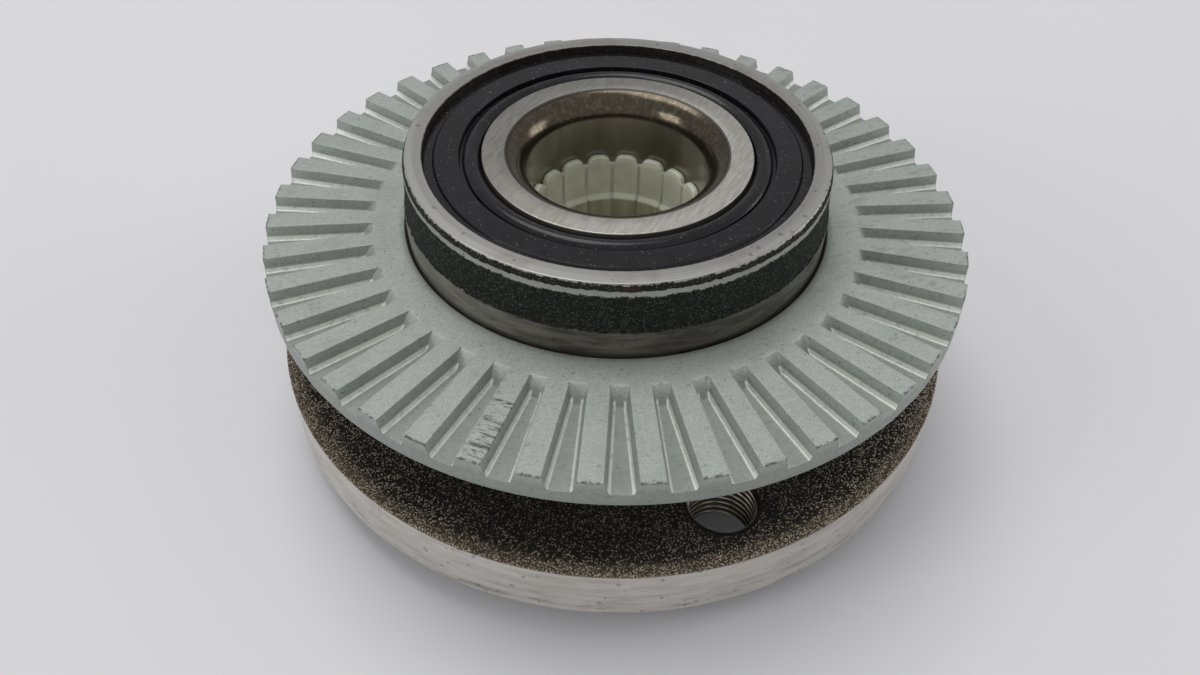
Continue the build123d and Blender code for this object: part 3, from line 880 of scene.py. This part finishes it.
class HUB_OT_tone_ring(Operator):
    """Pressed-on tone ring with its radial grooves"""

    bl_idname = "hub.tone_ring"
    bl_label = "Tone Ring"

    bore_edge = 0.6
    groove_depth = 2.45
    groove_ramp = 2.3
    inner_w = 2.7
    outer_w = 4.85
    draft = 16.0
    rim_edge = 0.12

    def radii(self):
        """Radii of the rows across the top, closest where the grooves begin."""
        start, full = GROOVE_START_R - 0.2, GROOVE_START_R + self.groove_ramp + 0.5
        runs = (
            np.linspace(TONE_BORE_R + self.bore_edge, start, 6),
            np.linspace(start, full, 14),
            np.linspace(full, TONE_R - 0.25, 14),
            (TONE_R - self.rim_edge, TONE_R - self.rim_edge / 3),
        )
        return np.unique(np.concatenate(runs))

    def section(self, radius, fillet, edge):
        """Distances aside and depths, from a groove's middle line to the middle of a tooth."""
        share = (radius - GROOVE_START_R) / (TONE_R - GROOVE_START_R)
        half = (self.inner_w + (self.outer_w - self.inner_w) * share) / 2
        depth = self.groove_depth * min(max((radius - GROOVE_START_R) / self.groove_ramp, 0.0), 1.0)
        slope, lean = math.tan(math.radians(self.draft)), math.radians(90 - self.draft)
        foot = half - depth * slope
        fillet = min(fillet, 0.7 * depth, 0.7 * foot)
        bend = foot - fillet * math.tan(lean / 2)
        aside, down = [0.0, 0.45 * foot, bend - 0.05], [depth] * 3
        for k in range(6):
            a = lean * k / 5
            aside.append(bend + fillet * math.sin(a))
            down.append(depth - fillet * (1 - math.cos(a)))
        edge = min(edge, 0.3 * depth)
        climb = edge * math.tan(lean / 2)
        below = climb * 1.3
        aside += [half - slope * below] * 2
        down += [below + 0.02, below]
        for k in range(4):
            a = lean * (1 - k / 3)
            aside.append(half + climb - edge * math.sin(a))
            down.append(edge - edge * math.cos(a))
        tooth = radius * TURN / TOOTH_COUNT / 2
        aside += [half + climb + 0.06, (half + tooth) / 2, tooth]
        down += [0.0, 0.0, 0.0]
        return np.array(aside), np.array(down)

    def execute(self, context):
        sizes = context.scene.hub_sizes
        fillet, edge = sizes.groove_fillet / MM, sizes.tooth_edge / MM
        rows = []
        for radius in self.radii():
            aside, down = self.section(radius, fillet, edge)
            angles = repeated(mirrored(aside / radius, -1), TOOTH_COUNT, FIRST_GROOVE)
            rows.append((radius, angles, TONE_TOP - np.tile(mirrored(down), TOOTH_COUNT)))
        inner_angles, inner_level = rows[0][1:]
        angles, level = rows[-1][1:]
        rim_top, rim_low = level - 0.1, TONE_BOTTOM + self.rim_edge
        rows += [(TONE_R, angles, rim_top + (rim_low - rim_top) * share) for share in (0.0, 0.08, 0.5, 0.94)]
        under = (TONE_R - self.rim_edge, TONE_R - 0.3, (TONE_R + TONE_BORE_R) / 2)
        rows += [(radius, angles, TONE_BOTTOM) for radius in under]
        rows += [
            (TONE_BORE_R + 0.05, inner_angles, TONE_BOTTOM),
            (TONE_BORE_R, inner_angles, TONE_BOTTOM + 0.05),
            (TONE_BORE_R, inner_angles, inner_level - self.bore_edge),
        ]
        ring = closed_rows("tone_ring_toothed", rows)
        settle(ring, "hub", "coated_steel", make_coated_steel(context.scene.hub_colours), "tone_ring")
        return {"FINISHED"}


class HUB_OT_inner_rings(Operator):
    """The two inner rings that stand on the spindle"""

    bl_idname = "hub.inner_rings"
    bl_label = "Inner Rings"

    around_steps = 256
    row_length = 2.5
    mouth_w = 3.32
    mouth_h = 4.6
    edge = 0.16

    def outline(self):
        """Section of a ring that stands on height 0, with its lead-in at the top of its bore."""
        width = RING_FACE - RING_JOINT
        wrap = math.degrees(math.acos((PITCH_R - RING_R) / RACE_R))
        lean = 2 * math.atan(self.mouth_w / self.mouth_h)
        mouth_r = self.mouth_h / math.sin(lean)
        return [
            (PITCH_R - RACE_R, 0.0, self.edge),
            (BORE_R, 0.0, self.edge),
            *arc((BORE_R + mouth_r, width - self.mouth_h), mouth_r, 180, 180 - math.degrees(lean)),
            (RING_R, width, self.edge),
            *arc((PITCH_R, ROW_HALF), RACE_R, 180 - wrap, 180),
        ]

    def execute(self, context):
        section = divided(rounded(self.outline()), self.row_length)
        material = make_ground_steel(tuple(context.scene.hub_colours.ground))
        for side, sign in (("inboard", 1), ("outboard", -1)):
            placed = section * np.array([1, sign]) + np.array([0, RING_JOINT])
            ring = closed_mesh(f"inner_ring_{side}_ground", turned_points(placed, even_angles(self.around_steps)))
            settle(ring, "spindle_side", "ground_steel", material, f"inner_ring_{side}")
        return {"FINISHED"}


class HUB_OT_seals(Operator):
    """Rubber lip seals of both sides"""

    bl_idname = "hub.seals"
    bl_label = "Seals"

    around_steps = 256
    lip_clearance = 0.2
    lip_w = 2.8
    lip_h = 2.4
    groove_w = 0.7
    groove_h = 1.15
    margin = 0.25
    cover_t = 1.1
    skin_t = 0.55
    rim_w = 1.9
    rim_step = 0.35

    def outline(self, seat_r, width):
        """Section of a seal with its outer face at height 0."""
        lip = RING_R + self.lip_clearance
        bead = lip + self.lip_w
        groove = bead + self.groove_w
        hinge = groove + self.margin
        skin = seat_r - self.skin_t
        shoulder = self.groove_h / 2
        start = lip + 0.1 * self.lip_w
        bulge = [(start + (bead - start) * k / 10, -shoulder * (k / 5 - 1) ** 2) for k in range(11)]
        return [
            # Bead, groove and the flat face with its stepped rim.
            *bulge, (bead, -self.groove_h, 0.2), (groove, -self.groove_h, 0.2), (groove, 0.0, 0.13),
            (seat_r - self.rim_w, 0.0, 0.13), (seat_r - self.rim_w + self.rim_step, -self.rim_step, 0.1),
            # Down the seat and back along the insert to the lip.
            (seat_r, -self.rim_step, 0.15), (seat_r, -width, 0.15), (skin, -width, 0.1),
            (skin, -self.cover_t, 0.0), (hinge, -self.cover_t, 0.0), (hinge, -self.lip_h, 0.2),
            (lip + 0.35 * self.lip_w, -self.lip_h, 0.2), (lip, -0.75 * self.lip_h, 0.12),
        ]

    def execute(self, context):
        material = make_seal_rubber(context.scene.hub_colours)
        sides = (
            ("inboard", SEAL_IN_R, SEAL_IN_FACE, 1, SEAL_IN_FACE - SEAL_IN_LOW),
            ("outboard", SEAL_OUT_R, SEAL_OUT_FACE, -1, SEAL_OUT_HIGH - SEAL_OUT_FACE),
        )
        for side, seat_r, face, sign, width in sides:
            section = rounded(self.outline(seat_r, width)) * np.array([1, sign]) + np.array([0, face])
            seal = closed_mesh(f"seal_{side}_lip", turned_points(section, even_angles(self.around_steps)))
            settle(seal, "hub", "seal_rubber", material, f"seal_rubber_{side}")
        return {"FINISHED"}


class HUB_OT_sleeve(Operator):
    """Nylon retaining sleeve with its scalloped rim"""

    bl_idname = "hub.sleeve"
    bl_label = "Retaining Sleeve"

    tab_w = 4.05
    tab_h = 1.7
    tab_round = 1.95
    tab_drop = 1.55
    thin_wall = 1.05
    thick_wall = 2.05
    ledge_h = 18.6
    crease_w = 0.9
    crease_depth = 0.16
    brim = 0.18
    brim_soft = 0.05

    def execute(self, context):
        hump = context.scene.hub_sizes.tab_hump / MM
        middle_r = SLEEVE_R - self.thin_wall / 2
        half_tab, half_pitch = self.tab_w / 2, middle_r * TURN / TAB_COUNT / 2
        flat = half_tab - self.tab_round

        # Half a tab and half a notch: distance aside, how far the top sinks and how deep the crease is.
        bend = half_tab - self.tab_round * (1 - np.sin(np.linspace(0, math.pi / 2, 7)[1:]))
        aside = np.concatenate([np.linspace(0, flat, 5), bend, np.linspace(half_tab + 0.05, half_pitch, 6)])
        over = np.clip(aside - flat, 0, self.tab_round)
        drop = self.tab_drop * (1 - np.sqrt(1 - (over / self.tab_round) ** 2))
        drop = drop + hump * np.cos(np.clip(aside / (0.62 * half_tab), 0, 1) * math.pi / 2) ** 2
        drop[aside > half_tab] = self.tab_h
        crease = self.crease_depth * np.clip(1 - ((half_pitch - aside) / (self.crease_w / 2)) ** 2, 0, 1)

        angles = repeated(mirrored(aside, -1) / middle_r, TAB_COUNT, FIRST_TAB)
        top = SLEEVE_TOP - np.tile(mirrored(drop), TAB_COUNT)
        crease = np.tile(mirrored(crease), TAB_COUNT)
        low_top = SLEEVE_TOP - self.tab_h - 0.4
        neck = np.minimum(top - 0.2, low_top + 0.3)
        thin, thick = SLEEVE_R - self.thin_wall, SLEEVE_R - self.thick_wall
        ledge = SLEEVE_BOTTOM + self.ledge_h
        rows = [
            # Up the outside.
            (thick + crease, SLEEVE_BOTTOM), (SLEEVE_R - 0.6, SLEEVE_BOTTOM), (SLEEVE_R - 0.15, SLEEVE_BOTTOM + 0.2),
            (SLEEVE_R, SLEEVE_BOTTOM + 0.6), (SLEEVE_R, low_top), (SLEEVE_R, neck), (SLEEVE_R, top - self.brim),
            # Over the brim.
            (SLEEVE_R - self.brim_soft, top - self.brim_soft), (SLEEVE_R - self.brim, top),
            (thin + self.brim, top), (thin + self.brim_soft, top - self.brim_soft),
            # Down the inside, over the ledge.
            (thin + 0.6 * crease, top - self.brim), (thin + crease, neck), (thin + crease, low_top),
            (thin + crease, ledge + 0.25), (thin + crease - 0.07, ledge + 0.05), (thin + crease - 0.25, ledge - 0.05),
            (thick + crease + 0.25, ledge - 0.4), (thick + crease + 0.05, ledge - 0.55),
            (thick + crease, ledge - 0.9), (thick + crease, SLEEVE_BOTTOM + 0.3),
        ]
        sleeve = closed_rows("sleeve_scalloped", [(radius, angles, height) for radius, height in rows])
        material = make_nylon("sleeve_nylon", tuple(context.scene.hub_colours.nylon), 0.3, 0.35, ledge - 0.5)
        settle(sleeve, "sleeve", "sleeve_nylon", material, "retaining_sleeve")
        return {"FINISHED"}


class HUB_OT_inside(Operator):
    """Finishes of the balls, cages and seal inserts"""

    bl_idname = "hub.inside"
    bl_label = "Balls, Cages and Inserts"

    def execute(self, context):
        colours = context.scene.hub_colours
        finishes = {
            "ball_": make_polished_steel(colours),
            "cage_": make_nylon("cage_nylon", tuple(colours.cage), 0.42, 0.1, HUB_BOTTOM),
            "seal_insert_": make_sheet_steel(colours),
        }
        for node, piece in frame["nodes"].items():
            for start, material in finishes.items():
                if node.startswith(start):
                    dress(piece, material)
        return {"FINISHED"}


class HUB_OT_stage(Operator):
    """Pale table, soft light and the camera"""

    bl_idname = "hub.stage"
    bl_label = "Stage"

    floor_half = 3.0
    floor_gap = 0.02
    lens = 30.87
    sensor = 36.0
    camera_at = (-51.9, -131.7, 140.3)
    camera_yaw = 20.58
    camera_pitch = 44.63
    camera_roll = 1.16
    room_level, room_behind, room_above = 0.5, -0.08, 0.12
    room_seen, room_tint = 0.75, (0.98, 0.985, 1.0, 1.0)
    lamps = (
        # name, place, size, watts: all aim at the hub
        ("ceiling_softbox", (-0.1, 0.42, 1.2), 0.7, 5.6),
        ("left_softbox", (-1.1, -0.1, 0.5), 0.45, 3.0),
        ("right_softbox", (1.1, -0.1, 0.36), 0.45, 2.2),
    )

    def lay_floor(self, tint):
        """Table top just under the hub, with a few dark crumbs."""
        h, z = self.floor_half, (HUB_BOTTOM - self.floor_gap) * MM
        table = new_object("table_top", [(-h, -h, z), (h, -h, z), (h, h, z), (-h, h, z)], [(0, 1, 2, 3)])
        material, g, shader, point = start_material("table")
        cloud = g.noise(point, 0.004, detail=2.0)
        top = g.blend(g.ramp(cloud, 0.3, 0.7), tint, dimmed(tint, 0.96))
        top = g.tinted(top, speck_mask(g, point, 16.0, 0.07, 0.03), 0.6, (0.1, 0.1, 0.1))
        finish_shader(g, shader, top, 0.5)
        dress(table, material)

    def hang_lamps(self, scene):
        """Square softboxes that face the hub."""
        for name, place, size, watts in self.lamps:
            lamp = bpy.data.lights.new(name, "AREA")
            lamp.shape, lamp.size, lamp.energy = "SQUARE", size, watts
            holder = bpy.data.objects.new(name, lamp)
            holder.location = place
            holder.rotation_mode = "QUATERNION"
            holder.rotation_quaternion = (-Vector(place)).to_track_quat("-Z", "Y")
            scene.collection.objects.link(holder)

    def light_room(self, scene):
        """Even room light, a little brighter from above and from the front."""
        world = bpy.data.worlds.new("soft_room")
        world.use_nodes = True
        scene.world = world
        sky = Graph(world.node_tree)
        ground = next(n for n in world.node_tree.nodes if n.type == "BACKGROUND")
        ground.inputs["Color"].default_value = self.room_tint
        seen = sky.node("ShaderNodeLightPath", {}).outputs["Is Camera Ray"]
        behind, above = sky.split(sky.node("ShaderNodeTexCoord", {}).outputs["Generated"])[1:3]
        slope = sky.plus(sky.times(behind, self.room_behind), sky.times(above, self.room_above))
        sky.feed(ground.inputs["Strength"], sky.between(seen, sky.plus(slope, self.room_level), self.room_seen))

    def place_camera(self, scene):
        """Camera of the main view, from its yaw, pitch and roll."""
        yaw, pitch, roll = (math.radians(a) for a in (self.camera_yaw, self.camera_pitch, self.camera_roll))
        ahead = Vector((math.sin(yaw) * math.cos(pitch), math.cos(yaw) * math.cos(pitch), -math.sin(pitch)))
        right = Vector((math.cos(yaw), -math.sin(yaw), 0))
        up = right.cross(ahead)
        across = right * math.cos(roll) + up * math.sin(roll)
        above = up * math.cos(roll) - right * math.sin(roll)
        camera = bpy.data.objects.new("camera", bpy.data.cameras.new("camera"))
        camera.data.sensor_width, camera.data.lens = self.sensor, self.lens
        camera.data.clip_start, camera.data.clip_end = 0.01, 20.0
        turn = Matrix((across, above, -ahead)).transposed().to_4x4()
        camera.matrix_world = Matrix.Translation(Vector(self.camera_at) * MM) @ turn
        scene.collection.objects.link(camera)
        scene.camera = camera

    def execute(self, context):
        scene = context.scene
        self.lay_floor(tuple(scene.hub_colours.floor))
        self.hang_lamps(scene)
        self.light_room(scene)
        self.place_camera(scene)
        scene.view_settings.view_transform = "Standard"
        return {"FINISHED"}


PIECES = (
    HUB_OT_outer_ring,
    HUB_OT_tone_ring,
    HUB_OT_inner_rings,
    HUB_OT_seals,
    HUB_OT_sleeve,
    HUB_OT_inside,
    HUB_OT_stage,
)


class HUB_PT_pieces(Panel):
    """Lists the pieces of the hub bearing and their sizes and colours"""

    bl_label = "Wheel Hub Bearing"
    bl_idname = "HUB_PT_pieces"
    bl_space_type = "VIEW_3D"
    bl_region_type = "UI"
    bl_category = "Hub"

    def draw(self, context):
        for piece in PIECES:
            self.layout.operator(piece.bl_idname, text=piece.bl_label)
        for group in (context.scene.hub_sizes, context.scene.hub_colours):
            for name in group.__annotations__:
                self.layout.prop(group, name)


CLASSES = (HubSizes, HubColours, *PIECES, HUB_PT_pieces)


def register():
    for entry in CLASSES:
        bpy.utils.register_class(entry)
    bpy.types.Scene.hub_sizes = PointerProperty(type=HubSizes)
    bpy.types.Scene.hub_colours = PointerProperty(type=HubColours)


def unregister():
    del bpy.types.Scene.hub_sizes
    del bpy.types.Scene.hub_colours
    for entry in reversed(CLASSES):
        bpy.utils.unregister_class(entry)


def main():
    """Makes the shared effects, then every piece in order."""
    register()
    for make in (make_axle_group, make_lathe_group, make_grit_group, make_dust_group, make_stain_group):
        make()
    bpy.ops.hub.outer_ring()
    bpy.ops.hub.tone_ring()
    bpy.ops.hub.inner_rings()
    bpy.ops.hub.seals()
    bpy.ops.hub.sleeve()
    bpy.ops.hub.inside()
    bpy.ops.hub.stage()


if __name__ == "__main__":
    main()
